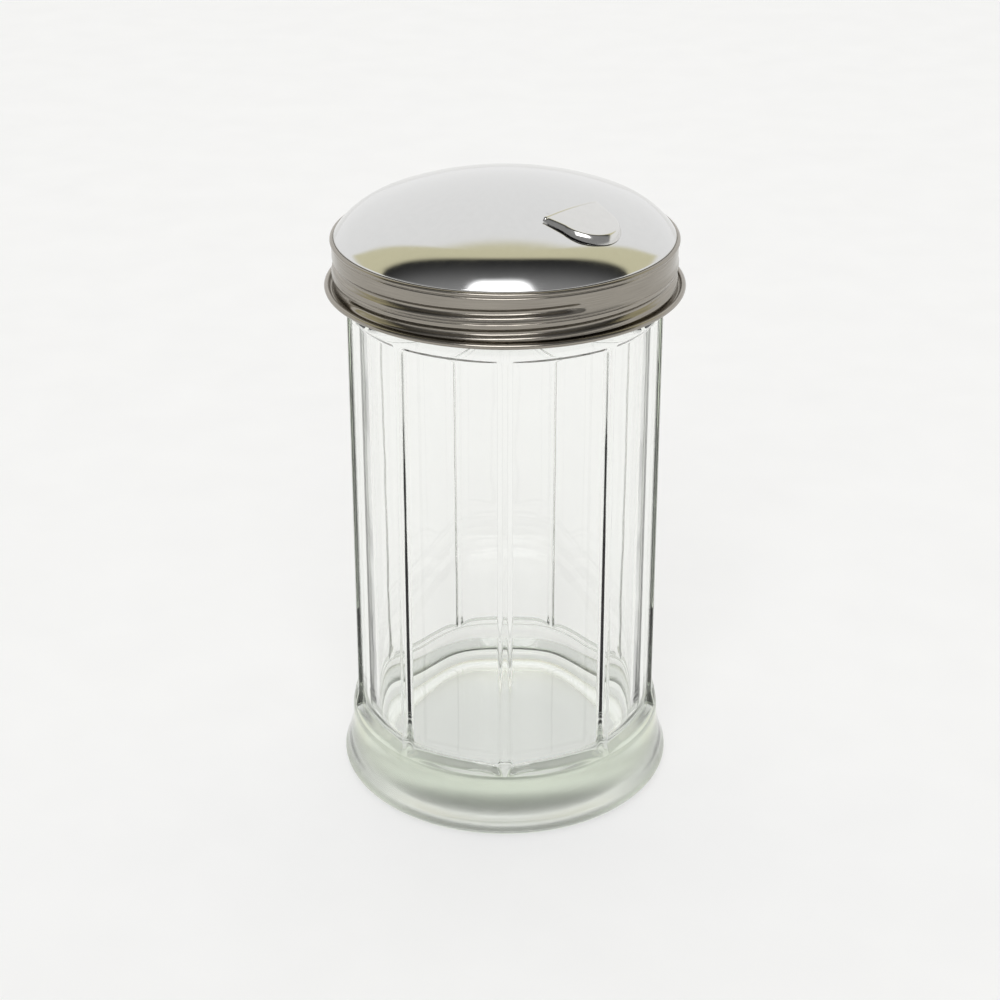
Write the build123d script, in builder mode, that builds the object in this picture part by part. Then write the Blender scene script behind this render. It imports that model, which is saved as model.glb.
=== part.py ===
from build123d import *

import os
from math import asin, atan, cos, degrees, radians, sin

# Fluted glass sugar pourer: a glass jar, a screwed lid drawn from sheet steel with a pour
# opening in its dome, and a small flap that lies closed over the opening and swings up when
# the jar is tipped. Millimetres, +Z up, origin at the centre of the ring the foot stands on.

# Jar, from the foot up
jar_push_up = 2.4
jar_push_up_radius = 29.0
jar_bearing_inner_radius = 32.0
jar_bearing_outer_radius = 34.4
jar_foot_radius = 38.1
jar_foot_widest_z = 2.4
jar_foot_waist_radius = 36.0
jar_foot_waist_z = 11.2
jar_foot_ring_radius = 35.7
jar_foot_ring_z = 14.5
jar_foot_ledge_z = 15.3
jar_body_bottom_radius = 34.7
jar_body_bottom_z = 20.0
jar_body_top_radius = 34.2
jar_body_top_z = 114.8
jar_shoulder_z = 116.0
jar_neck_radius = 33.3
jar_neck_bottom_z = 117.0
jar_rim_z = 130.4
jar_rim_fillet = 0.9
jar_bore_radius = 29.6
jar_floor_z = 10.0
jar_floor_corner_radius = 8.0

# Broad panels round the jar, parted by narrow ribs that flare out where they meet the foot
rib_count = 9
rib_azimuth = -89.0
rib_height = 1.1
rib_crest_half_width = 0.6
rib_root_half_width = 1.7
rib_flare_radius = 35.5
rib_flare_half_width = 0.5
panel_top_chamfer = 0.8

# Screw thread, shared by the glass neck and the rolled skirt
thread_pitch = 25.4 / 6
thread_embed = 0.4
thread_stagger = 1.6
glass_thread_radius = 35.3
glass_thread_root_half_width = 1.1
glass_thread_crest_half_width = 0.45
glass_thread_turns = 1.2
glass_thread_top_azimuth = -20.0
skirt_thread_turns = 1.25
skirt_thread_top_azimuth = -62.0
skirt_thread_top_z = 125.4
skirt_thread_depth = 1.2
skirt_thread_crest_half_width = 0.35
skirt_thread_root_half_width = 1.35

# Lid, drawn from one sheet
sheet = 0.5
dome_radius = 76.4
dome_top_z = 141.1
dome_crown_edge_radius = 29.0
dome_knuckle_radius = 17.2
dome_edge_radius = 36.4
bead_radius = 0.65
bead_center_radius = 36.5
bead_center_z = 129.0
skirt_radius = 36.8
skirt_bottom_z = 119.3
lip_radius = 0.6
lip_center_radius = 38.05
lip_center_z = 118.8
lip_web_radius = 36.9

# Pour opening and flap, laid out along one radial line of the dome
flap_azimuth = -46.0
flap_rear = 19.2
flap_rear_half_width = 8.0
flap_tip_radius = 6.9
flap_tip_center = 24.0
flap_rear_height = 1.1
flap_tip_height = 1.8
flap_wall_gap = 0.25
flap_edge_fillet = 0.6
flap_cut_bottom_z = 128.0
flap_cut_height = 20.0
opening_rear = 19.4
opening_half_width = 4.7
opening_tip_center = 24.0

# Hinge of the flap
pivot_depth = 1.8
pivot_behind_flap = 0.6
pin_radius = 0.6
pin_clearance = 0.05
pin_head_radius = 0.9
pin_head_length = 0.4
ear_inner = 3.6
lug_inner = 4.4
hub_radius = 1.0
ear_arm_start = 2.3
ear_arm_end = 3.6
ear_web_top = -0.4
ear_web_bottom = -1.25
lug_half_width = 1.4

# Sealing ring between the glass rim and the dome
liner_inner_radius = 30.4
liner_outer_radius = 33.4
liner_thickness = 0.9

# Sizes worked out from the ones above
dome_center_z = dome_top_z - dome_radius
dome_inner_radius = dome_radius - sheet
dome_crown_slope = asin(dome_crown_edge_radius / dome_radius)
dome_knuckle_reach = dome_knuckle_radius * sin(dome_crown_slope)
dome_edge_slope = asin(
    (dome_edge_radius - dome_crown_edge_radius + dome_knuckle_reach) / dome_knuckle_radius
)
dome_knuckle_center_radius = dome_crown_edge_radius - dome_knuckle_reach
dome_knuckle_center_z = dome_center_z + (dome_radius - dome_knuckle_radius) * cos(dome_crown_slope)
panel_bottom_radius = jar_body_bottom_radius - rib_height
panel_top_radius = jar_body_top_radius - rib_height
panel_height = jar_body_top_z - jar_foot_ledge_z
panel_taper = degrees(atan((panel_bottom_radius - panel_top_radius) / panel_height))
skirt_inner_radius = skirt_radius - sheet
skirt_thread_bottom_z = skirt_thread_top_z - thread_pitch * skirt_thread_turns
skirt_thread_bottom_azimuth = skirt_thread_top_azimuth - 360 * skirt_thread_turns
glass_thread_bottom_azimuth = glass_thread_top_azimuth - 360 * glass_thread_turns
glass_thread_lead = (glass_thread_bottom_azimuth - skirt_thread_bottom_azimuth) / 360
glass_thread_bottom_z = skirt_thread_bottom_z + thread_stagger + thread_pitch * glass_thread_lead

flap_tip = flap_tip_center + flap_tip_radius
rear_sine = flap_rear / dome_radius
tip_sine = flap_tip / dome_radius
flap_top_shift = (flap_tip_height - flap_rear_height) / (tip_sine - rear_sine)
flap_top_radius = dome_radius + flap_rear_height - flap_top_shift * rear_sine

flap_rear_underside = dome_radius + flap_rear_height - sheet
pivot_tilt = asin(flap_rear / flap_rear_underside) - atan(pivot_behind_flap / flap_rear_underside)
pivot_reach = (dome_radius - pivot_depth) * sin(pivot_tilt)
pivot_z = dome_center_z + (dome_radius - pivot_depth) * cos(pivot_tilt)
flap_cos = cos(radians(flap_azimuth))
flap_sin = sin(radians(flap_azimuth))
hinge_plane = Plane(
    origin=(pivot_reach * flap_cos, pivot_reach * flap_sin, pivot_z),
    x_dir=(cos(pivot_tilt) * flap_cos, cos(pivot_tilt) * flap_sin, -sin(pivot_tilt)),
    z_dir=(flap_sin, -flap_cos, 0),
)
opening_tip_radius = opening_half_width

os.makedirs("parts", exist_ok=True)


def radial_plane(azimuth, z):
    """Upright plane through the jar's axis: local x is the radius, local y the height."""
    turn = radians(azimuth)
    return Plane(origin=(0, 0, z), x_dir=(cos(turn), sin(turn), 0), z_dir=(sin(turn), -cos(turn), 0))


def level_plane(azimuth, z):
    """Level plane on the jar's axis: local x points along the azimuth."""
    turn = radians(azimuth)
    return Plane(origin=(0, 0, z), x_dir=(cos(turn), sin(turn), 0), z_dir=(0, 0, 1))


def helix_path(turns, radius, azimuth, z):
    """Right-hand helix that starts at the azimuth and the height z and climbs."""
    path = Helix(thread_pitch, thread_pitch * turns, radius, center=(0, 0, z))
    return path.rotate(Axis.Z, azimuth)


glass_helix = helix_path(
    glass_thread_turns, jar_neck_radius, glass_thread_bottom_azimuth, glass_thread_bottom_z
)
skirt_helix = helix_path(
    skirt_thread_turns, skirt_inner_radius, skirt_thread_bottom_azimuth, skirt_thread_bottom_z
)

# Glass jar: a tapered body with its ribs, and a turned foot, shoulder and neck added to it
with BuildPart() as glass_jar:
    with BuildSketch(Plane.XY.offset(jar_foot_ledge_z)):
        Circle(panel_bottom_radius)
    extrude(amount=panel_height, taper=panel_taper)
    with BuildSketch(Plane.XY.offset(jar_foot_ledge_z)):
        for index in range(rib_count):
            with Locations(Rotation(0, 0, rib_azimuth + index * 360 / rib_count)):
                Polygon(
                    (panel_top_radius - rib_height, -rib_root_half_width),
                    (panel_bottom_radius - rib_height / 2, -rib_root_half_width),
                    (jar_body_bottom_radius, -rib_crest_half_width),
                    (jar_foot_radius, -rib_flare_half_width),
                    (jar_foot_radius, rib_flare_half_width),
                    (jar_body_bottom_radius, rib_crest_half_width),
                    (panel_bottom_radius - rib_height / 2, rib_root_half_width),
                    (panel_top_radius - rib_height, rib_root_half_width),
                    align=None,
                )
    extrude(amount=panel_height)
    with BuildSketch(Plane.XZ):
        with BuildLine():
            Spline(
                (rib_flare_radius, jar_foot_ledge_z),
                (jar_body_bottom_radius, jar_body_bottom_z),
                tangents=[(-0.4, 1), (0, 1)],
            )
            Polyline(
                (jar_body_bottom_radius, jar_body_bottom_z),
                (jar_body_top_radius, jar_body_top_z),
                (0, jar_body_top_z),
                (0, jar_foot_ledge_z),
                (rib_flare_radius, jar_foot_ledge_z),
            )
        make_face()
    revolve(axis=Axis.Z, mode=Mode.INTERSECT)
    # Foot, topped by a level ledge that the panels stop at
    with BuildSketch(Plane.XZ):
        with BuildLine():
            ledge_edge = jar_foot_ring_radius - (jar_foot_ledge_z - jar_foot_ring_z)
            Polyline((0, jar_push_up), (0, jar_foot_ledge_z), (ledge_edge, jar_foot_ledge_z))
            RadiusArc(
                (ledge_edge, jar_foot_ledge_z),
                (jar_foot_ring_radius, jar_foot_ring_z),
                jar_foot_ledge_z - jar_foot_ring_z,
            )
            Spline(
                (jar_foot_ring_radius, jar_foot_ring_z),
                (jar_foot_waist_radius, jar_foot_waist_z),
                (jar_foot_radius, jar_foot_widest_z),
                tangents=[(0, -1), (0.1, -1)],
            )
            Spline(
                (jar_foot_radius, jar_foot_widest_z),
                (jar_bearing_outer_radius, 0),
                tangents=[(0, -1), (-1, 0)],
            )
            Line((jar_bearing_outer_radius, 0), (jar_bearing_inner_radius, 0))
            Spline(
                (jar_bearing_inner_radius, 0),
                (jar_push_up_radius, jar_push_up / 2),
                (0, jar_push_up),
                tangents=[(-1, 0), (-1, 0)],
            )
        make_face()
    revolve(axis=Axis.Z)
    # Shoulder and neck, with a small slope at the tops of the panels
    with BuildSketch(Plane.XZ):
        Polygon(
            (0, jar_body_top_z - panel_top_chamfer),
            (panel_top_radius, jar_body_top_z - panel_top_chamfer),
            (jar_body_top_radius, jar_body_top_z),
            (jar_body_top_radius, jar_shoulder_z),
            (jar_neck_radius, jar_neck_bottom_z),
            (jar_neck_radius, jar_rim_z),
            (0, jar_rim_z),
            align=None,
        )
    revolve(axis=Axis.Z)
    with BuildSketch(Plane.XZ) as bore_section:
        with BuildLine():
            Polyline(
                (0, jar_floor_z),
                (0, jar_rim_z),
                (jar_bore_radius, jar_rim_z),
                (jar_bore_radius, jar_floor_z),
                close=True,
            )
        make_face()
        floor_corner = bore_section.vertices().sort_by(Axis.Y)[0:2].sort_by(Axis.X)[-1]
        fillet(floor_corner, jar_floor_corner_radius)
    revolve(axis=Axis.Z, mode=Mode.SUBTRACT)
    fillet(glass_jar.edges().group_by(Axis.Z)[-1], jar_rim_fillet)
    with BuildSketch(radial_plane(glass_thread_bottom_azimuth, glass_thread_bottom_z)):
        Polygon(
            (jar_neck_radius - thread_embed, -glass_thread_root_half_width),
            (glass_thread_radius, -glass_thread_crest_half_width),
            (glass_thread_radius, glass_thread_crest_half_width),
            (jar_neck_radius - thread_embed, glass_thread_root_half_width),
            align=None,
        )
    sweep(path=glass_helix, is_frenet=True)

# Sealing ring, resting on the glass rim
with BuildPart() as rim_liner:
    with BuildSketch(Plane.XY.offset(jar_rim_z)):
        Circle(liner_outer_radius)
        Circle(liner_inner_radius, mode=Mode.SUBTRACT)
    extrude(amount=liner_thickness)

# Lid: dome, rolled bead, threaded skirt and curled lip from one sheet
with BuildPart() as lid_shell:
    with BuildSketch(Plane.XZ):
        with BuildLine():
            crown_center = (0, dome_center_z)
            crown_start = 90 - degrees(dome_crown_slope)
            crown_arc = degrees(dome_crown_slope)
            knuckle_center = (dome_knuckle_center_radius, dome_knuckle_center_z)
            knuckle_start = 90 - degrees(dome_edge_slope)
            knuckle_arc = degrees(dome_edge_slope - dome_crown_slope)
            outer_crown = CenterArc(crown_center, dome_radius, crown_start, crown_arc)
            inner_crown = CenterArc(crown_center, dome_inner_radius, crown_start, crown_arc)
            outer_knuckle = CenterArc(
                knuckle_center, dome_knuckle_radius, knuckle_start, knuckle_arc
            )
            inner_knuckle = CenterArc(
                knuckle_center, dome_knuckle_radius - sheet, knuckle_start, knuckle_arc
            )
            Line(outer_crown @ 1, inner_crown @ 1)
            Line(outer_knuckle @ 0, inner_knuckle @ 0)
        make_face()
        with Locations((bead_center_radius, bead_center_z)):
            Circle(bead_radius)
        with Locations((lip_center_radius, lip_center_z)):
            Circle(lip_radius)
        Polygon(
            (skirt_inner_radius, bead_center_z),
            (skirt_inner_radius, skirt_bottom_z),
            (lip_web_radius, lip_center_z - lip_radius),
            (lip_center_radius, lip_center_z - lip_radius),
            (lip_center_radius, lip_center_z),
            (skirt_radius, skirt_bottom_z),
            (skirt_radius, bead_center_z),
            align=None,
        )
    revolve(axis=Axis.Z)
    skirt_thread_start = radial_plane(skirt_thread_bottom_azimuth, skirt_thread_bottom_z)
    thread_crest_radius = skirt_inner_radius - skirt_thread_depth
    thread_slope = (skirt_thread_root_half_width - skirt_thread_crest_half_width) / skirt_thread_depth
    with BuildSketch(skirt_thread_start):
        Polygon(
            (thread_crest_radius, -skirt_thread_crest_half_width),
            (skirt_inner_radius + sheet / 2, -skirt_thread_root_half_width),
            (skirt_inner_radius + sheet / 2, skirt_thread_root_half_width),
            (thread_crest_radius, skirt_thread_crest_half_width),
            align=None,
        )
    sweep(path=skirt_helix, is_frenet=True)
    groove_mouth_radius = skirt_radius + sheet
    groove_mouth_half_width = skirt_thread_crest_half_width + thread_slope * skirt_thread_depth
    with BuildSketch(skirt_thread_start):
        Polygon(
            (thread_crest_radius + sheet, -skirt_thread_crest_half_width / 2),
            (groove_mouth_radius, -groove_mouth_half_width),
            (groove_mouth_radius, groove_mouth_half_width),
            (thread_crest_radius + sheet, skirt_thread_crest_half_width / 2),
            align=None,
        )
    sweep(path=skirt_helix, is_frenet=True, mode=Mode.SUBTRACT)
    # Pour opening, and the two lugs under the dome that hold the hinge pin
    with BuildSketch(level_plane(flap_azimuth, flap_cut_bottom_z)):
        with Locations((opening_tip_center, 0)):
            Circle(opening_tip_radius)
        with Locations((opening_rear, 0)):
            Rectangle(
                opening_tip_center - opening_rear,
                2 * opening_half_width,
                align=(Align.MIN, Align.CENTER),
            )
    extrude(amount=flap_cut_height, mode=Mode.SUBTRACT)
    for side in (-1, 1):
        lug_middle = side * (lug_inner + sheet / 2)
        with BuildSketch(hinge_plane.offset(lug_middle)):
            Circle(lug_half_width)
            Rectangle(
                2 * lug_half_width,
                pivot_depth - sheet / 2,
                align=(Align.CENTER, Align.MIN),
            )
            Circle(pin_radius, mode=Mode.SUBTRACT)
        extrude(amount=sheet / 2, both=True)

# Hinge pin, headed over outside the lugs
with BuildPart() as flap_hinge_pin:
    with BuildSketch(hinge_plane):
        Circle(pin_radius)
    extrude(amount=lug_inner + sheet, both=True)
    for side in (-1, 1):
        head_middle = side * (lug_inner + sheet + pin_head_length / 2)
        with BuildSketch(hinge_plane.offset(head_middle)):
            Circle(pin_head_radius)
        extrude(amount=pin_head_length / 2, both=True)

# Space under the flap's pressed top, open at the hinge end
with BuildPart() as flap_inside:
    with BuildSketch(level_plane(flap_azimuth, flap_cut_bottom_z)):
        with BuildLine():
            inside_half_width = flap_rear_half_width - sheet
            inside_rear = flap_rear - 1
            Line((inside_rear, -inside_half_width), (inside_rear, inside_half_width))
            CenterArc((flap_tip_center, 0), flap_tip_radius - sheet, -90, 180)
        make_hull()
    extrude(amount=flap_cut_height)
    with Locations((flap_top_shift * flap_cos, flap_top_shift * flap_sin, dome_center_z)):
        Sphere(flap_top_radius - sheet, mode=Mode.INTERSECT)

# Flap: a pressed tongue with its edge turned down, and two ears that reach the pin
with BuildPart() as pour_flap:
    with BuildSketch(level_plane(flap_azimuth, flap_cut_bottom_z)):
        with BuildLine():
            Line((flap_rear, -flap_rear_half_width), (flap_rear, flap_rear_half_width))
            CenterArc((flap_tip_center, 0), flap_tip_radius, -90, 180)
        make_hull()
    extrude(amount=flap_cut_height)
    with Locations((flap_top_shift * flap_cos, flap_top_shift * flap_sin, dome_center_z)):
        Sphere(flap_top_radius, mode=Mode.INTERSECT)
    flap_top = pour_flap.faces().filter_by(GeomType.SPHERE).sort_by(Axis.Z)[-1]
    fillet(flap_top.edges(), flap_edge_fillet)
    add(flap_inside.part, mode=Mode.SUBTRACT)
    with Locations((0, 0, dome_center_z)):
        Sphere(dome_radius + flap_wall_gap, mode=Mode.SUBTRACT)
    for side in (-1, 1):
        ear_middle = side * (ear_inner + sheet / 2)
        with BuildSketch(hinge_plane.offset(ear_middle)):
            Circle(hub_radius)
            Polygon(
                (0, ear_web_top),
                (0, -hub_radius),
                (ear_arm_start / 2, ear_web_bottom),
                (ear_arm_end, ear_web_bottom),
                (ear_arm_end, pivot_depth + flap_rear_height - sheet / 2),
                (ear_arm_start, pivot_depth + flap_rear_height - sheet / 2),
                (ear_arm_start, ear_web_top),
                align=None,
            )
            Circle(pin_radius + pin_clearance, mode=Mode.SUBTRACT)
        extrude(amount=sheet / 2, both=True)

glass_jar.part.label = "glass_jar"
rim_liner.part.label = "rim_liner"
lid_shell.part.label = "lid_shell"
flap_hinge_pin.part.label = "flap_hinge_pin"
pour_flap.part.label = "pour_flap"

export_step(glass_jar.part, "parts/glass_jar.step")
export_step(rim_liner.part, "parts/rim_liner.step")
export_step(lid_shell.part, "parts/lid_shell.step")
export_step(flap_hinge_pin.part, "parts/flap_hinge_pin.step")
export_step(pour_flap.part, "parts/pour_flap.step")
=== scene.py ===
"""Looks of the fluted glass sugar pourer: pressed glass jar, polished screw lid and pour flap."""

import math

import bmesh
import bpy
import numpy as np
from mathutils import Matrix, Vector


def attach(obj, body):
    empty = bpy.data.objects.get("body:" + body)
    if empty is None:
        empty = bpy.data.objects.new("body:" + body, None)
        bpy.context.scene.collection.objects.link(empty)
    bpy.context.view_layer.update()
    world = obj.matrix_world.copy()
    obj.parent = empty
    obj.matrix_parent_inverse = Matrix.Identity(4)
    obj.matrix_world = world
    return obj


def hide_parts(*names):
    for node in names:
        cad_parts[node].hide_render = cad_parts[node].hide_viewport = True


MM = 0.001
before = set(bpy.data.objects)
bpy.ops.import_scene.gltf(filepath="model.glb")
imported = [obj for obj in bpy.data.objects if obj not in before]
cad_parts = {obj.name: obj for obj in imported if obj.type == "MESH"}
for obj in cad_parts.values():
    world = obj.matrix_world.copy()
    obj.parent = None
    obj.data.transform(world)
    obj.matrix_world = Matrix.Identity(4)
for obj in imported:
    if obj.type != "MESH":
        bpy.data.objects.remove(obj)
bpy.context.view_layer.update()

# Lid, flap and hinge sizes in millimetres, the CAD pieces' own but for the two holes
PITCH = 25.4 / 6
CROWN_RADIUS, CROWN_TOP, CROWN_EDGE = 76.4, 141.1, 29.0
CROWN_CENTER = CROWN_TOP - CROWN_RADIUS
KNUCKLE_RADIUS, DOME_EDGE = 17.2, 36.4
CROWN_SLOPE = math.asin(CROWN_EDGE / CROWN_RADIUS)
KNUCKLE_R = CROWN_EDGE - KNUCKLE_RADIUS * math.sin(CROWN_SLOPE)
KNUCKLE_Z = CROWN_CENTER + (CROWN_RADIUS - KNUCKLE_RADIUS) * math.cos(CROWN_SLOPE)
EDGE_SLOPE = math.asin((DOME_EDGE - KNUCKLE_R) / KNUCKLE_RADIUS)
SHEET = 0.5
FLAP_AZIMUTH = math.radians(-46)
FLAP_REAR, FLAP_HALF_WIDTH, TIP_RADIUS, TIP_CENTER = 19.2, 8.0, 6.9, 24.0
REAR_HEIGHT, TIP_HEIGHT, WALL_GAP = 1.1, 1.8, 0.25
OPENING_REAR, OPENING_HALF_WIDTH = 19.4, 4.7
PIVOT_DEPTH, PIVOT_BEHIND = 1.8, 0.6
LUG_ROUND, LUG_HOLE, LUG_NEAR, LUG_SHORT = 1.4, 0.62, 4.4, 0.15
EAR_ROUND, EAR_HOLE, EAR_NEAR = 1.0, 0.66, 3.6
PIN_RADIUS, PIN_HEAD_RADIUS, PIN_HEAD_NEAR, PIN_HEAD_FAR = 0.6, 0.9, 4.9, 5.3
PIN_COLUMNS = 48
UNDERSIDE = CROWN_RADIUS + REAR_HEIGHT - SHEET
TILT = math.asin(FLAP_REAR / UNDERSIDE) - math.atan(PIVOT_BEHIND / UNDERSIDE)
PIVOT_REACH = (CROWN_RADIUS - PIVOT_DEPTH) * math.sin(TILT)
PIVOT_Z = CROWN_CENTER + (CROWN_RADIUS - PIVOT_DEPTH) * math.cos(TILT)


def smoothstep(low, high, value):
    """0 below low, 1 above high, with a soft change between."""
    t = np.clip((value - low) / (high - low), 0, 1)
    return t * t * (3 - 2 * t)


def new_object(name, points, faces, sharp=None):
    """A shaded object from points in millimetres; edges steeper than sharp degrees stay crisp."""
    mesh = bpy.data.meshes.new(name)
    mesh.from_pydata((np.asarray(points, float) * MM).tolist(), [], faces)
    mesh.validate()
    work = bmesh.new()
    work.from_mesh(mesh)
    bmesh.ops.remove_doubles(work, verts=work.verts, dist=1e-7)
    bmesh.ops.recalc_face_normals(work, faces=work.faces)
    for face in work.faces:
        face.smooth = True
    if sharp:
        limit = math.radians(sharp)
        for edge in work.edges:
            edge.smooth = len(edge.link_faces) == 2 and edge.calc_face_angle(0) < limit
    work.to_mesh(mesh)
    work.free()
    piece = bpy.data.objects.new(name, mesh)
    bpy.context.scene.collection.objects.link(piece)
    return piece


def loop_faces(rows, columns, close_rows=False):
    """Quads between rings that each hold the same number of points."""
    faces = []
    pairs = rows if close_rows else rows - 1
    for row in range(pairs):
        a = row * columns
        b = (row + 1) % rows * columns
        for column in range(columns):
            after = (column + 1) % columns
            faces.append((a + column, a + after, b + after, b + column))
    return faces


def turned(radii, heights, azimuths):
    """Points of rings: radii is rows by columns, heights one a row or rows by columns."""
    radii = np.broadcast_to(radii, (len(radii), len(azimuths)))
    heights = np.asarray(heights, float)
    if heights.ndim == 1:
        heights = np.repeat(heights[:, None], len(azimuths), axis=1)
    x = radii * np.cos(azimuths)
    y = radii * np.sin(azimuths)
    return np.stack([x, y, heights], axis=2).reshape(-1, 3)


def helix_offset(azimuths, heights, top_azimuth, top_z, turns, run_in):
    """Height above the nearest turn of a right-hand helix, and how far that turn has faded in."""
    degrees = np.degrees(azimuths)[None, :]
    best = np.full((len(heights), len(azimuths)), 99.0)
    fade = np.zeros_like(best)
    for wind in range(-3, 2):
        turn = degrees + 360 * wind
        center = top_z + PITCH * (turn - top_azimuth) / 360
        start = top_azimuth - 360 * turns
        strength = smoothstep(0, run_in, top_azimuth - turn) * smoothstep(0, run_in, turn - start)
        offset = heights[:, None] - center
        near = (np.abs(offset) < np.abs(best)) & (strength > 0)
        best = np.where(near, offset, best)
        fade = np.where(near, np.broadcast_to(strength, best.shape), fade)
    return best, fade


def curve_through(points, count):
    """Smooth interpolation of a short list of (radius, height) points."""
    points = np.asarray(points, float)
    steps = np.concatenate([[0], np.cumsum(np.hypot(*np.diff(points, axis=0).T))])
    wanted = np.linspace(0, steps[-1], count)
    out = []
    for s in wanted:
        i = min(max(np.searchsorted(steps, s) - 1, 0), len(points) - 2)
        t = (s - steps[i]) / (steps[i + 1] - steps[i])
        before = points[max(i - 1, 0)]
        after = points[min(i + 2, len(points) - 1)]
        a, b = points[i], points[i + 1]
        slope = (b - before) * t
        bend = (2 * before - 5 * a + 4 * b - after) * t * t
        twist = (3 * a - before - 3 * b + after) * t**3
        out.append(0.5 * (2 * a + slope + bend + twist))
    return np.array(out)


# Glass jar, ring by ring: foot, fluted body, shoulder, threaded neck, then down the bore
RIBS, RIB_HEIGHT, PANEL_BULGE = 9, 0.75, 0.35
RIB_CREST, RIB_FOOT, RIB_CIRCLE = 0.4, 1.75, 34.5
BODY_RADIUS, BODY_LOW, BODY_LENGTH, BODY_TAPER = 34.7, 20.0, 94.0, 0.5
FLARE, FLARE_LOW = 0.75, 15.4
LEDGE_Z, LEDGE_ARCH, LEDGE_HEIGHT, ARCH_START, ARCH_SPREAD = 15.0, 1.3, 1.7, 0.9, 2.0
PANEL_END, PANEL_TOP = 113.0, 114.4
SHOULDER_Z, SHOULDER_HEIGHT, SHOULDER_DROP = 114.6, 2.4, 0.9
NECK_RADIUS, NECK_LOW, NECK_TOP = 33.3, 117.1, 129.4
THREAD_AZIMUTH, THREAD_TOP, THREAD_TURNS, THREAD_RUN_IN = -20.0, 127.494, 1.2, 14.0
THREAD_HEIGHT, THREAD_CREST, THREAD_ROOT = 1.95, 0.35, 1.25
RIM_Z, RIM_ROUND = 129.5, 0.9
BORE_RADIUS, BORE_TOP = 29.6, 129.0
FLOOR_Z, CORNER_RADIUS = 10.0, 8.0
JAR_COLUMNS = 1080

jar_azimuths = np.linspace(0, 2 * np.pi, JAR_COLUMNS, endpoint=False)
rib_angle = 2 * np.pi / RIBS
rib_offset = (jar_azimuths + np.pi / 2 + rib_angle / 2) % rib_angle - rib_angle / 2
rib_distance = np.abs(rib_offset) * RIB_CIRCLE
foot_outside = curve_through(
    [
        (34.4, 0.0),
        (35.9, 0.35),
        (37.25, 1.1),
        (38.0, 2.1),
        (38.05, 2.9),
        (37.5, 4.4),
        (37.0, 6.1),
        (36.55, 7.9),
        (36.2, 9.6),
        (36.0, 11.2),
        (35.92, 12.9),
        (35.85, 14.2),
        (35.6, 14.95),
    ],
    46,
)
push_up = curve_through([(0.3, 2.4), (14, 2.2), (24, 1.6), (29, 0.9), (31, 0.2), (32.0, 0.0)], 22)


def foot_flare(height):
    """How far the body widens toward the foot at one height."""
    return FLARE * (1 - smoothstep(FLARE_LOW, BODY_LOW, height))


def body_radius(height):
    """Radius over the ribs, flaring into the foot."""
    taper = BODY_TAPER * (height - BODY_LOW) / BODY_LENGTH
    shoulder = SHOULDER_DROP * np.clip((height - SHOULDER_Z) / SHOULDER_HEIGHT, 0, 1) ** 2
    return BODY_RADIUS - taper + foot_flare(height) - shoulder


def panel_drop(height):
    """How far the glass lies inside the rib crests at one height."""
    side = smoothstep(RIB_CREST, RIB_FOOT, rib_distance)
    share = np.clip(np.abs(rib_offset) / rib_angle, 0, 0.5)
    bulge = PANEL_BULGE * (1 - np.cos(share * 2 * np.pi)) / 2
    past_rib = np.clip(rib_distance - ARCH_START, 0, None)
    arch = LEDGE_Z + LEDGE_ARCH * (1 - np.exp(-past_rib / ARCH_SPREAD))
    low = smoothstep(arch, arch + LEDGE_HEIGHT, height)
    high = 1 - smoothstep(PANEL_END, PANEL_TOP, height + 0.5 * (1 - side))
    return (RIB_HEIGHT + bulge + foot_flare(height)) * side * low * high


def plain_ring(radius, height):
    """One round ring of the jar."""
    return turned(np.array([[radius]]), np.array([height]), jar_azimuths)


body_heights = np.concatenate(
    [np.linspace(15.1, 23, 50), np.linspace(23.8, 111.5, 50), np.linspace(111.8, 116.9, 26)]
)
jar_points = [plain_ring(r, z) for r, z in [*push_up, *foot_outside]]
for z in body_heights:
    fluted = body_radius(z) - panel_drop(z)
    jar_points.append(turned(fluted[None, :], np.array([z]), jar_azimuths))
neck_heights = np.linspace(NECK_LOW, NECK_TOP, 62)
offset, fade = helix_offset(
    jar_azimuths, neck_heights, THREAD_AZIMUTH, THREAD_TOP, THREAD_TURNS, THREAD_RUN_IN
)
thread = THREAD_HEIGHT * fade * (1 - smoothstep(THREAD_CREST, THREAD_ROOT, np.abs(offset)))
jar_points.append(turned(NECK_RADIUS + thread, neck_heights, jar_azimuths))

rim_turn = np.linspace(0, math.pi, 15)
rim = [
    (NECK_RADIUS - RIM_ROUND + RIM_ROUND * math.cos(a), RIM_Z + RIM_ROUND * math.sin(a))
    for a in rim_turn[:8]
]
rim += [
    (BORE_RADIUS + RIM_ROUND + RIM_ROUND * math.cos(a), RIM_Z + RIM_ROUND * math.sin(a))
    for a in rim_turn[7:]
]
corner_z = FLOOR_Z + CORNER_RADIUS
bore = [(BORE_RADIUS, z) for z in np.linspace(BORE_TOP, corner_z + 1, 40)]
corner = [
    (BORE_RADIUS - CORNER_RADIUS + CORNER_RADIUS * math.cos(a), corner_z - CORNER_RADIUS * math.sin(a))
    for a in np.linspace(0, math.pi / 2, 24)
]
floor_rings = [(16.0, FLOOR_Z), (9.0, FLOOR_Z), (0.3, FLOOR_Z)]
jar_points += [plain_ring(r, z) for r, z in rim + bore + corner + floor_rings]
jar_points = np.concatenate(jar_points)
jar_faces = loop_faces(len(jar_points) // JAR_COLUMNS, JAR_COLUMNS)
jar_faces.append(tuple(range(JAR_COLUMNS)))
jar_faces.append(tuple(range(len(jar_points) - JAR_COLUMNS, len(jar_points))))
jar = new_object("jar_glass", jar_points, jar_faces)

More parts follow.
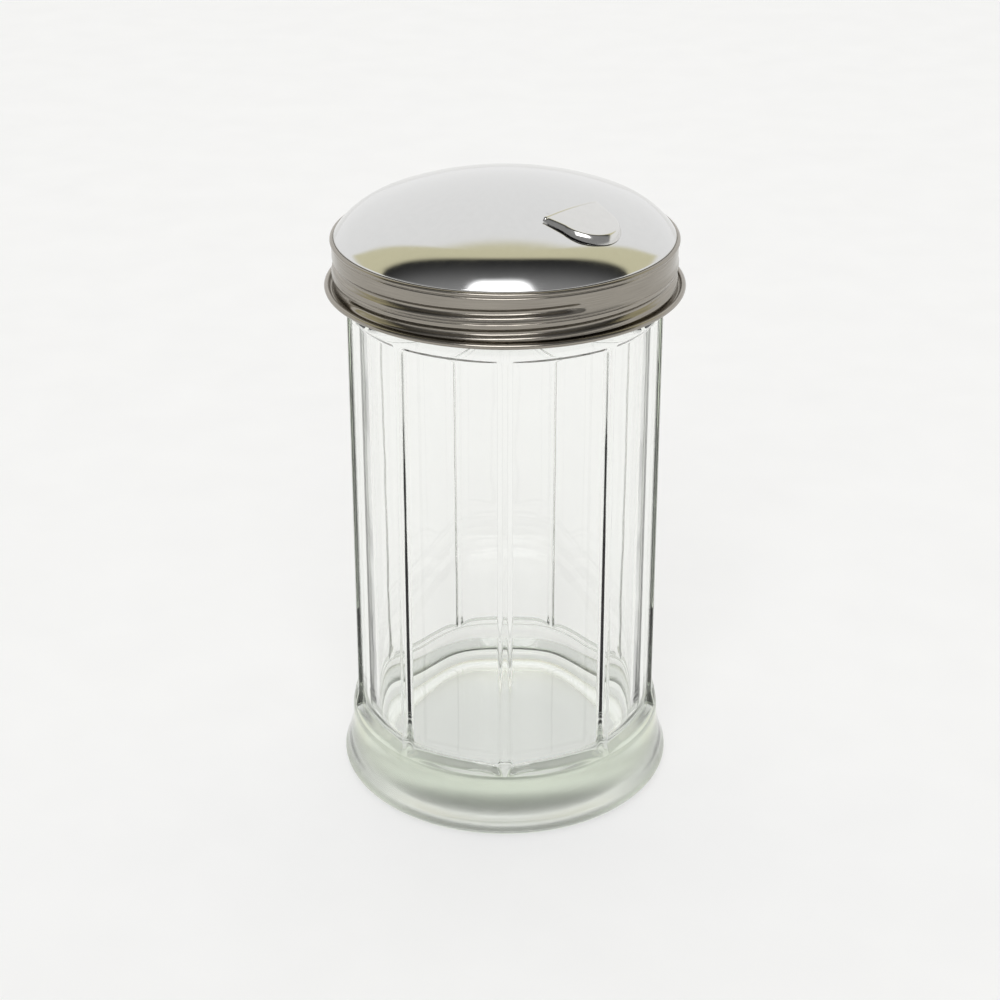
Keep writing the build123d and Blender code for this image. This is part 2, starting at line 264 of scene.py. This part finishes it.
# Lid, one closed section rolled round: dome, bead, grooved skirt, curled lip, and back inside
BEAD_CENTER, BEAD_Z, BEAD_ROUND = 36.6, 128.98, 0.54
SKIRT_RADIUS, SKIRT_INSIDE, SKIRT_TOP, SKIRT_LOW = 36.8, 36.35, 128.14, 119.45
GROOVE_AZIMUTH, GROOVE_Z, GROOVE_TURNS, GROOVE_RUN_IN = -62.0, 125.43, 1.25, 9.0
GROOVE_DEPTH, GROOVE_FLOOR, GROOVE_MOUTH = 0.85, 0.15, 1.15
LAND_AZIMUTH, LAND_TURNS, LAND_RUN_IN = 20.0, 1.6, 30.0
CREASE_DEPTH, CREASE_WIDTH, SWELL_HEIGHT, SWELL_WIDTH = 0.16, 0.13, 0.2, 0.7
LAND_Z = GROOVE_Z + PITCH * (LAND_AZIMUTH - GROOVE_AZIMUTH) / 360 - PITCH / 2
CURL_CENTER, CURL_Z, CURL_ROUND = 38.05, 118.8, 0.6
LID_COLUMNS = 720

lid_azimuths = np.linspace(0, 2 * np.pi, LID_COLUMNS, endpoint=False)


def dome_row(slope, drop):
    """Point of the dome section at a slope, moved in by drop."""
    if slope <= CROWN_SLOPE:
        reach = CROWN_RADIUS - drop
        return reach * math.sin(slope), CROWN_CENTER + reach * math.cos(slope)
    reach = KNUCKLE_RADIUS - drop
    return KNUCKLE_R + reach * math.sin(slope), KNUCKLE_Z + reach * math.cos(slope)


def skirt_shape(heights, inside):
    """Radius of the skirt: rolled thread grooves, and the fine crease along the land between."""
    offset, fade = helix_offset(
        lid_azimuths, heights, GROOVE_AZIMUTH, GROOVE_Z, GROOVE_TURNS, GROOVE_RUN_IN
    )
    groove = GROOVE_DEPTH * fade * (1 - smoothstep(GROOVE_FLOOR, GROOVE_MOUTH, np.abs(offset)))
    if inside:
        return SKIRT_INSIDE - groove
    land, kept = helix_offset(
        lid_azimuths, heights, LAND_AZIMUTH, LAND_Z, LAND_TURNS, LAND_RUN_IN
    )
    crease = CREASE_DEPTH * kept * np.exp(-((land / CREASE_WIDTH) ** 2))
    swell = SWELL_HEIGHT * kept * np.exp(-((land / SWELL_WIDTH) ** 2))
    return SKIRT_RADIUS - groove - crease + swell


slopes = np.concatenate(
    [np.linspace(0.004, CROWN_SLOPE, 44), np.linspace(CROWN_SLOPE + 0.02, EDGE_SLOPE, 26)]
)
outer_dome = [dome_row(slope, 0) for slope in slopes]
bead = [(36.27, 129.38)]
bead += [
    (BEAD_CENTER + BEAD_ROUND * math.cos(a), BEAD_Z + BEAD_ROUND * math.sin(a))
    for a in np.radians(np.linspace(135, -48, 22))
]
bead += [(36.7, 128.46), (36.62, 128.38), (36.7, 128.28)]
skirt_heights = np.linspace(SKIRT_TOP, SKIRT_LOW, 100)
curl = [(36.85, 119.2), (36.86, 118.7), (36.95, 118.44), (37.15, 118.34), (37.36, 118.44)]
curl += [
    (CURL_CENTER + CURL_ROUND * math.cos(a), CURL_Z + CURL_ROUND * math.sin(a))
    for a in np.radians(np.linspace(178, -90, 26))
]
curl += [(37.6, 118.2), (37.1, 118.22), (36.6, 118.45), (36.4, 118.8), (36.33, 119.2)]
inner_heights = np.linspace(SKIRT_LOW, 128.2, 60)
inner_dome = [dome_row(slope, SHEET) for slope in slopes[::-1]]


def rings_of(section):
    """Plain rings for a list of (radius, height) points."""
    section = np.asarray(section)
    return turned(section[:, :1], section[:, 1], lid_azimuths)


shell_points = np.concatenate(
    [
        rings_of(outer_dome),
        rings_of(bead),
        turned(skirt_shape(skirt_heights, False), skirt_heights, lid_azimuths),
        rings_of(curl),
        turned(skirt_shape(inner_heights, True), inner_heights, lid_azimuths),
        rings_of([(36.3, 128.6)]),
        rings_of(inner_dome),
    ]
)
shell_faces = loop_faces(len(shell_points) // LID_COLUMNS, LID_COLUMNS)
shell_faces.append(tuple(range(LID_COLUMNS)))
shell_faces.append(tuple(range(len(shell_points) - LID_COLUMNS, len(shell_points))))


def along_flap(s, d, z):
    """Point at a distance s along the flap's line and d across it."""
    c, n = math.cos(FLAP_AZIMUTH), math.sin(FLAP_AZIMUTH)
    return s * c - d * n, s * n + d * c, z


def prism(name, outline, low, high):
    """Closed upright prism over an outline given along and across the flap's line."""
    points = [along_flap(s, d, low) for s, d in outline]
    points += [along_flap(s, d, high) for s, d in outline]
    count = len(outline)
    faces = loop_faces(2, count)
    faces += [tuple(range(count)), tuple(range(count, 2 * count))]
    return new_object(name, points, faces)


def opening_outline(steps=40):
    """Outline of the pour opening: a tongue with a round end."""
    outline = [(OPENING_REAR, -OPENING_HALF_WIDTH)]
    outline += [
        (TIP_CENTER + OPENING_HALF_WIDTH * math.cos(a), OPENING_HALF_WIDTH * math.sin(a))
        for a in np.linspace(-math.pi / 2, math.pi / 2, steps)
    ]
    outline.append((OPENING_REAR, OPENING_HALF_WIDTH))
    return outline


lid = new_object("lid", shell_points, shell_faces)
opening = prism("opening_cutter", opening_outline(), 130.0, 150.0)
cut = lid.modifiers.new("cut", "BOOLEAN")
cut.object = opening
cut.solver = "EXACT"
applied = lid.evaluated_get(bpy.context.evaluated_depsgraph_get())
cut_mesh = bpy.data.meshes.new_from_object(applied)
lid.modifiers.clear()
lid.data = cut_mesh
bpy.data.objects.remove(opening)

# Places in the hinge's own frame: x down the dome, y out of it, z along the pin
flap_line = (math.cos(FLAP_AZIMUTH), math.sin(FLAP_AZIMUTH))
hinge_x = Vector((math.cos(TILT) * flap_line[0], math.cos(TILT) * flap_line[1], -math.sin(TILT)))
hinge_z = Vector((flap_line[1], -flap_line[0], 0))
hinge_y = hinge_z.cross(hinge_x)
hinge_origin = Vector(along_flap(PIVOT_REACH, 0, PIVOT_Z))


def at_hinge(x, y, z):
    """Place of a point given in the hinge's frame."""
    return tuple(hinge_origin + hinge_x * x + hinge_y * y + hinge_z * z)


def plate(outline, hole, low, high):
    """Points and faces of a plate with a round hole, lying across the pin."""
    count = len(outline)
    hole_points = []
    for x, y in outline:
        reach = math.hypot(x, y)
        hole_points.append((hole * x / reach, hole * y / reach))
    rings = [(outline, low), (outline, high), (hole_points, high), (hole_points, low)]
    points = [at_hinge(x, y, z) for ring, z in rings for x, y in ring]
    return points, loop_faces(4, count, close_rows=True)


def radial_outline(reach, steps=72):
    """Outline sampled by angle round the pin from a function that gives the reach."""
    angles = np.linspace(0, 2 * np.pi, steps, endpoint=False)
    return [(reach(a) * math.cos(a), reach(a) * math.sin(a)) for a in angles]


def lug_reach(angle):
    """A round eye with a straight shank that rises to the dome."""
    c, s = math.cos(angle), math.sin(angle)
    if s <= 0:
        return LUG_ROUND
    top = (PIVOT_DEPTH - LUG_SHORT) / s
    side = LUG_ROUND / max(abs(c), 1e-6)
    return min(top, side)


def ear_reach(angle):
    """A round eye; the flap's arm is added beside it."""
    return EAR_ROUND


def sheet_span(side, near):
    """Low and high place along the pin of one sheet thickness on one side."""
    return sorted((side * near, side * (near + SHEET)))


def add_part(piece, points, faces, sharp=40):
    """Joins another closed solid into a piece."""
    extra = new_object(piece.name + "_extra", points, faces, sharp)
    work = bmesh.new()
    work.from_mesh(piece.data)
    work.from_mesh(extra.data)
    work.to_mesh(piece.data)
    work.free()
    bpy.data.objects.remove(extra)


for side in (-1, 1):
    add_part(lid, *plate(radial_outline(lug_reach), LUG_HOLE, *sheet_span(side, LUG_NEAR)))


# Flap: pressed tongue whose edge turns down, in the same radial layout as the dome
def surface_height(s, d, lift):
    """Height of the dome under a point, plus a lift."""
    reach = math.hypot(s, d)
    if reach <= CROWN_EDGE:
        return CROWN_CENTER + math.sqrt(CROWN_RADIUS**2 - reach**2) + lift
    drop = min(reach - KNUCKLE_R, KNUCKLE_RADIUS)
    return KNUCKLE_Z + math.sqrt(KNUCKLE_RADIUS**2 - drop**2) + lift


def flap_top(s, d):
    """Height of the flap's outside: a dome-like skin that rises a little to the tip."""
    rear_angle = FLAP_REAR / CROWN_RADIUS
    tip_angle = (TIP_CENTER + TIP_RADIUS) / CROWN_RADIUS
    shift = (TIP_HEIGHT - REAR_HEIGHT) / (tip_angle - rear_angle)
    radius = CROWN_RADIUS + REAR_HEIGHT - shift * rear_angle
    bend = 0.12 * math.exp(-(((s - FLAP_REAR - 0.5) / 0.16) ** 2))
    return CROWN_CENTER + math.sqrt(radius**2 - (s - shift) ** 2 - d * d) - bend


def flap_path(steps_side=56, steps_tip=64):
    """Outline points with the point of the middle line that each one faces."""
    path = []
    for t in np.linspace(0, 1, steps_side, endpoint=False):
        s = FLAP_REAR + (TIP_CENTER - FLAP_REAR) * t
        path.append(((s, -FLAP_HALF_WIDTH + (FLAP_HALF_WIDTH - TIP_RADIUS) * t), (s, 0.0)))
    for a in np.linspace(-math.pi / 2, math.pi / 2, steps_tip):
        tip = (TIP_CENTER + TIP_RADIUS * math.cos(a), TIP_RADIUS * math.sin(a))
        path.append((tip, (TIP_CENTER, 0.0)))
    for t in np.linspace(1, 0, steps_side + 1)[1:]:
        s = FLAP_REAR + (TIP_CENTER - FLAP_REAR) * t
        path.append(((s, FLAP_HALF_WIDTH - (FLAP_HALF_WIDTH - TIP_RADIUS) * t), (s, 0.0)))
    return path


def inward(edge, middle, amount):
    """Outline point moved toward the middle line by a length."""
    gap = math.hypot(edge[0] - middle[0], edge[1] - middle[1])
    share = min(amount / gap, 1.0)
    return edge[0] + (middle[0] - edge[0]) * share, edge[1] + (middle[1] - edge[1]) * share


def flap_layer(skin):
    """Rows from the wall's foot over the turned edge to the middle, skin in from the outside."""
    rows = []
    turn = 0.95 - skin * 0.4
    low = math.radians(30)
    for edge, middle in flap_path():
        row = []
        base = surface_height(*edge, WALL_GAP)
        for a in np.linspace(low, math.pi / 2, 20):
            s, d = inward(edge, middle, skin + turn * (math.cos(low) - math.cos(a)))
            rise = (math.sin(a) - math.sin(low)) / (1 - math.sin(low))
            row.append(along_flap(s, d, base + (flap_top(s, d) - skin - base) * rise))
        room = math.hypot(edge[0] - middle[0], edge[1] - middle[1]) - skin - turn * math.cos(low)
        for t in np.linspace(0, 1, 14)[1:]:
            s, d = inward(edge, middle, skin + turn * math.cos(low) + room * t)
            row.append(along_flap(s, d, flap_top(s, d) - skin))
        rows.append(row)
    return np.array(rows)


outside = flap_layer(0.0)
inside = flap_layer(SHEET)
path_count, row_count = outside.shape[:2]
flap_points = np.concatenate([outside.reshape(-1, 3), inside.reshape(-1, 3)])
flap_faces = []
under = path_count * row_count
for i in range(path_count - 1):
    for j in range(row_count - 1):
        a, b = i * row_count + j, (i + 1) * row_count + j
        flap_faces.append((a, b, b + 1, a + 1))
        flap_faces.append((under + a, under + a + 1, under + b + 1, under + b))
    a, b = i * row_count, (i + 1) * row_count
    flap_faces.append((a, under + a, under + b, b))
for end in (0, path_count - 1):
    for j in range(row_count - 1):
        a = end * row_count + j
        flap_faces.append((a, a + 1, under + a + 1, under + a))
flap = new_object("flap", flap_points, flap_faces, 50)

# Arm from an ear up into the flap's skin, as places in the hinge's frame
arm_top = PIVOT_DEPTH + REAR_HEIGHT - SHEET / 2
arm = [(0.72, -0.42), (2.3, -0.4), (2.3, arm_top), (3.6, arm_top)]
arm += [(3.6, -1.25), (1.15, -1.25), (0.2, -0.97), (0.5, -0.72)]
arm_sides = [tuple(range(len(arm))), tuple(range(len(arm), 2 * len(arm)))]
for side in (-1, 1):
    span = sheet_span(side, EAR_NEAR)
    add_part(flap, *plate(radial_outline(ear_reach), EAR_HOLE, *span))
    arm_points = [at_hinge(x, y, z) for z in span for x, y in arm]
    add_part(flap, arm_points, loop_faces(2, len(arm)) + arm_sides)

# Hinge pin with rounded heads, and the sealing ring with rounded edges
head = [(PIN_HEAD_NEAR, PIN_RADIUS), (PIN_HEAD_NEAR, 0.86), (4.97, PIN_HEAD_RADIUS)]
head += [(5.16, PIN_HEAD_RADIUS), (5.27, 0.82), (PIN_HEAD_FAR, 0.66), (PIN_HEAD_FAR, 0.02)]
pin_rows = [(-x, r) for x, r in head[::-1]] + head
pin_turn = np.linspace(0, 2 * np.pi, PIN_COLUMNS, endpoint=False)
pin_points = [
    at_hinge(r * math.cos(a), r * math.sin(a), x) for x, r in pin_rows for a in pin_turn
]
pin_faces = loop_faces(len(pin_rows), PIN_COLUMNS)
pin_faces.append(tuple(range(PIN_COLUMNS)))
pin_faces.append(tuple(range(len(pin_points) - PIN_COLUMNS, len(pin_points))))
pin = new_object("hinge_pin", pin_points, pin_faces, 35)

LINER_OUTER, LINER_INNER, LINER_TOP, LINER_LOW, LINER_ROUND = 33.22, 30.58, 131.12, 130.58, 0.18
liner_corners = [
    (LINER_OUTER, LINER_TOP, 0),
    (LINER_INNER, LINER_TOP, 90),
    (LINER_INNER, LINER_LOW, 180),
    (LINER_OUTER, LINER_LOW, 270),
]
ring_section = []
for r, z, first in liner_corners:
    for a in np.radians(np.linspace(first, first + 90, 6)):
        ring_section.append((r + LINER_ROUND * math.cos(a), z + LINER_ROUND * math.sin(a)))
liner_faces = loop_faces(len(ring_section), LID_COLUMNS, close_rows=True)
liner = new_object("liner", rings_of(ring_section), liner_faces)


# Materials, all made from nodes
class Nodes:
    """Short way to write a node tree."""

    def __init__(self, tree):
        self.tree = tree

    def add(self, kind, inputs=(), output=0, **settings):
        """Makes a node, feeds it sockets or constants, and gives back one output."""
        node = self.tree.nodes.new(kind)
        for key, value in settings.items():
            setattr(node, key, value)
        for key, value in dict(inputs).items():
            if isinstance(value, bpy.types.NodeSocket):
                self.tree.links.new(value, node.inputs[key])
            else:
                node.inputs[key].default_value = value
        return node.outputs[output]

    def math(self, operation, a, b=0.0):
        """One math node."""
        return self.add("ShaderNodeMath", {0: a, 1: b}, operation=operation)

    def ramp(self, value, low, high, to_low=0.0, to_high=1.0):
        """Soft map of a value from one range to another."""
        inputs = {"Value": value, "From Min": low, "From Max": high}
        inputs.update({"To Min": to_low, "To Max": to_high})
        return self.add("ShaderNodeMapRange", inputs, interpolation_type="SMOOTHSTEP")

    def parts(self, vector):
        """The three components of a vector."""
        split = self.tree.nodes.new("ShaderNodeSeparateXYZ")
        self.tree.links.new(vector, split.inputs[0])
        return split.outputs

    def mix(self, factor, a, b):
        """Mix of two colours."""
        inputs = {0: factor, 6: a, 7: b}
        return self.add("ShaderNodeMix", inputs, output=2, data_type="RGBA")


def material(name, color, metallic, roughness):
    """A new material with its principled shader and tree helper."""
    made = bpy.data.materials.new(name)
    made.use_nodes = True
    shader = made.node_tree.nodes["Principled BSDF"]
    shader.inputs["Base Color"].default_value = (*color, 1)
    shader.inputs["Metallic"].default_value = metallic
    shader.inputs["Roughness"].default_value = roughness
    made.diffuse_color = (*color, 1)
    return made, shader, Nodes(made.node_tree)


def metal(name, color, rough, stretch, bump, spread):
    """Sheet steel: uneven tone and roughness, and fine marks stretched along one direction."""
    made, shader, nodes = material(name, color, 1.0, rough)
    place = nodes.add("ShaderNodeTexCoord", output=3)
    x, y, z = nodes.parts(place)
    squares = nodes.math("ADD", nodes.math("MULTIPLY", x, x), nodes.math("MULTIPLY", y, y))
    reach = nodes.math("SQRT", squares)
    around = nodes.math("MULTIPLY", nodes.math("ARCTAN2", y, x), 0.036)
    wrapped = nodes.add("ShaderNodeCombineXYZ", {0: around, 1: reach, 2: z})
    fine = nodes.add("ShaderNodeVectorMath", {0: wrapped, 1: stretch}, operation="MULTIPLY")
    fine_noise = {"Vector": fine, "Scale": 1.0, "Detail": 4.0, "Roughness": 0.65}
    lines = nodes.add("ShaderNodeTexNoise", fine_noise)
    cloud = nodes.add("ShaderNodeTexNoise", {"Vector": place, "Scale": 160.0, "Detail": 3.0})
    shade = nodes.ramp(lines, 0.3, 0.7, 1.0 - spread, 1.0 + spread * 0.4)
    tint = nodes.add("ShaderNodeVectorMath", {0: color, "Scale": shade}, operation="SCALE")
    nodes.tree.links.new(tint, shader.inputs["Base Color"])
    uneven = nodes.ramp(cloud, 0.35, 0.7, rough * 0.85, rough * 1.2)
    streaks = nodes.ramp(lines, 0.45, 0.8, 0.0, rough * 0.3)
    level = nodes.math("ADD", uneven, streaks)
    nodes.tree.links.new(level, shader.inputs["Roughness"])
    relief = nodes.add("ShaderNodeBump", {"Strength": bump, "Distance": 0.00002, "Height": lines})
    nodes.tree.links.new(relief, shader.inputs["Normal"])
    return made


dome_steel = metal("dome_steel", (0.68, 0.68, 0.675), 0.1, (500.0, 500.0, 500.0), 0.05, 0.015)
# Skirt steel: the stretched streaks are its own brushed finish, but its dark brownish base tone is
# painted shade, a darker copy of the lid steel standing in for the skirt's darker reflections
skirt_steel_painted_dark = metal("skirt_steel_painted_dark", (0.34, 0.315, 0.275), 0.17, (90.0, 5000.0, 9000.0), 0.5, 0.2)
flap_metal = metal("flap_metal", (0.7, 0.695, 0.68), 0.14, (500.0, 500.0, 500.0), 0.06, 0.02)
pin_metal = metal("pin_metal", (0.55, 0.54, 0.52), 0.3, (400.0, 4000.0, 4000.0), 0.2, 0.08)


def clear_glass(name, rough):
    """Pressed glass with a faint green body and a slightly uneven surface."""
    made, shader, nodes = material(name, (1.0, 1.0, 1.0), 0.0, rough)
    shader.inputs["Transmission Weight"].default_value = 1.0
    shader.inputs["IOR"].default_value = 1.52
    place = nodes.add("ShaderNodeTexCoord", output=3)
    wave = nodes.add("ShaderNodeTexNoise", {"Vector": place, "Scale": 60.0, "Detail": 1.0})
    relief = nodes.add("ShaderNodeBump", {"Strength": 0.12, "Distance": 0.0004, "Height": wave})
    nodes.tree.links.new(relief, shader.inputs["Normal"])
    body = nodes.tree.nodes.new("ShaderNodeVolumeAbsorption")
    body.inputs["Color"].default_value = (0.66, 0.88, 0.45, 1)
    body.inputs["Density"].default_value = 5.0
    output = nodes.tree.nodes["Material Output"]
    nodes.tree.links.new(body.outputs[0], output.inputs["Volume"])
    return made


def speckled(name, color, rough, scale, dark, light):
    """Matt paint or rubber with a fine mottle between two tones."""
    made, shader, nodes = material(name, color, 0.0, rough)
    place = nodes.add("ShaderNodeTexCoord", output=3)
    noise = nodes.add("ShaderNodeTexNoise", {"Vector": place, "Scale": scale})
    nodes.tree.links.new(nodes.mix(noise, dark, light), shader.inputs["Base Color"])
    return made, shader


glass = clear_glass("jar_clear_glass", 0.0)
stippled = clear_glass("jar_stippled_underside", 0.28)
liner_tones = (0.74, 0.73, 0.68, 1), (0.82, 0.81, 0.78, 1)
rubber, _ = speckled("liner_white", (0.78, 0.77, 0.73), 0.6, 900.0, *liner_tones)

# The stippled part of the jar's underside, and the height where the lid's two finishes meet: dome
# steel above, and below it brushed skirt steel whose darker tone is painted shade
UNDERSIDE_Z, UNDERSIDE_RADIUS, FINISH_AND_SHADE_Z = 2.6, 36.5, 129.55
jar.data.materials.append(glass)
jar.data.materials.append(stippled)
for face in jar.data.polygons:
    reach = math.hypot(face.center.x, face.center.y)
    underside = face.center.z < UNDERSIDE_Z * MM and reach < UNDERSIDE_RADIUS * MM
    face.material_index = 1 if underside else 0
lid.data.materials.clear()
lid.data.materials.append(dome_steel)
lid.data.materials.append(skirt_steel_painted_dark)
# Faces below this height take the skirt steel with its painted shade; faces above take the dome steel
for face in lid.data.polygons:
    face.material_index = 0 if face.center.z > FINISH_AND_SHADE_Z * MM else 1
flap.data.materials.append(flap_metal)
pin.data.materials.append(pin_metal)
liner.data.materials.append(rubber)

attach(jar, "jar")
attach(liner, "liner")
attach(lid, "lid")
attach(pin, "lid")
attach(flap, "flap")
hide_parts("glass_jar")
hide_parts("rim_liner")
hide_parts("lid_shell")
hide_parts("flap_hinge_pin")
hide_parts("pour_flap")

# Pale floor, one broad lamp overhead, and a soft studio round the object
FLOOR_HALF, FLOOR_DROP = 30000.0, 0.05
floor_corners = ((-1, -1), (1, -1), (1, 1), (-1, 1))
floor_points = [(x * FLOOR_HALF, y * FLOOR_HALF, -FLOOR_DROP) for x, y in floor_corners]
floor = new_object("floor", floor_points, [(0, 1, 2, 3)])
floor_tones = (0.28, 0.28, 0.278, 1), (0.32, 0.32, 0.318, 1)
floor_paint, floor_shader = speckled("floor_pale", (0.3, 0.3, 0.3), 0.9, 40.0, *floor_tones)
floor_shader.inputs["Specular IOR Level"].default_value = 0.1
floor_shader.inputs["Emission Color"].default_value = (1.0, 1.0, 1.0, 1)
floor_shader.inputs["Emission Strength"].default_value = 0.62
floor.data.materials.append(floor_paint)

# Studio by direction: where a line of sight meets a level plane one unit overhead
world = bpy.data.worlds.new("studio")
bpy.context.scene.world = world
world.use_nodes = True
sky = Nodes(world.node_tree)
direction = sky.add("ShaderNodeTexCoord", output=0)
dx, dy, dz = sky.parts(direction)
up = sky.math("MAXIMUM", dz, 0.03)
across = sky.math("DIVIDE", dx, up)
back = sky.math("DIVIDE", dy, up)
spread = sky.math("ABSOLUTE", across)
bow = sky.math("MULTIPLY", sky.math("MULTIPLY", across, across), 0.2)
dip = sky.math("MINIMUM", sky.math("SUBTRACT", back, 0.2), 0.0)
low_spread = sky.math("ADD", spread, sky.math("MULTIPLY", dip, 5.0))
tan_zone = sky.math(
    "MULTIPLY",
    sky.ramp(sky.math("SUBTRACT", back, bow), 0.52, 0.66, 1.0, 0.0),
    sky.ramp(low_spread, 2.0, 2.6, 1.0, 0.0),
)
dark_zone = sky.math(
    "MULTIPLY",
    sky.ramp(back, 0.16, 0.3, 1.0, 0.0),
    sky.ramp(low_spread, 1.25, 1.6, 1.0, 0.0),
)
lamp_left = sky.math("SUBTRACT", across, sky.math("MULTIPLY", back, 0.5))
lamp_right = sky.math("ADD", across, sky.math("MULTIPLY", back, 0.36))
lamp_depth = sky.math(
    "MULTIPLY", sky.ramp(back, -0.62, -0.3, 1.0, 0.0), sky.ramp(back, -1.9, -1.7)
)
lamp_width = sky.math(
    "MULTIPLY", sky.ramp(lamp_left, -0.12, 0.02), sky.ramp(lamp_right, -0.05, 0.09, 1.0, 0.0)
)
lamp_zone = sky.math("MULTIPLY", lamp_depth, lamp_width)
haze = sky.ramp(back, -0.7, 0.15, 0.28, 0.03)
haze_tone = sky.add("ShaderNodeCombineColor", {0: haze, 1: haze, 2: haze})
studio = sky.mix(tan_zone, (1.0, 1.0, 1.0, 1), (0.75, 0.71, 0.49, 1))
studio = sky.mix(dark_zone, studio, haze_tone)
studio = sky.mix(lamp_zone, studio, (4.2, 4.2, 4.25, 1))
backdrop = world.node_tree.nodes["Background"]
world.node_tree.links.new(studio, backdrop.inputs["Color"])

lamp_data = bpy.data.lights.new("overhead", "AREA")
lamp_data.shape = "DISK"
lamp_data.size = 1.6
lamp_data.energy = 6.0
lamp = bpy.data.objects.new("overhead", lamp_data)
lamp.location = (0.0, 0.1, 1.6)
lamp.visible_glossy = False
lamp.visible_transmission = False
bpy.context.scene.collection.objects.link(lamp)

camera_data = bpy.data.cameras.new("photo_camera")
camera_data.lens = 71.3
camera_data.shift_x = -0.005
camera_data.clip_start = 0.01
camera = bpy.data.objects.new("photo_camera", camera_data)
camera.location = (0.0, -0.4007, 0.2663)
camera.rotation_euler = (math.radians(63.45), 0.0, 0.0)
bpy.context.scene.collection.objects.link(camera)
bpy.context.scene.camera = camera
bpy.context.scene.view_settings.view_transform = "Standard"
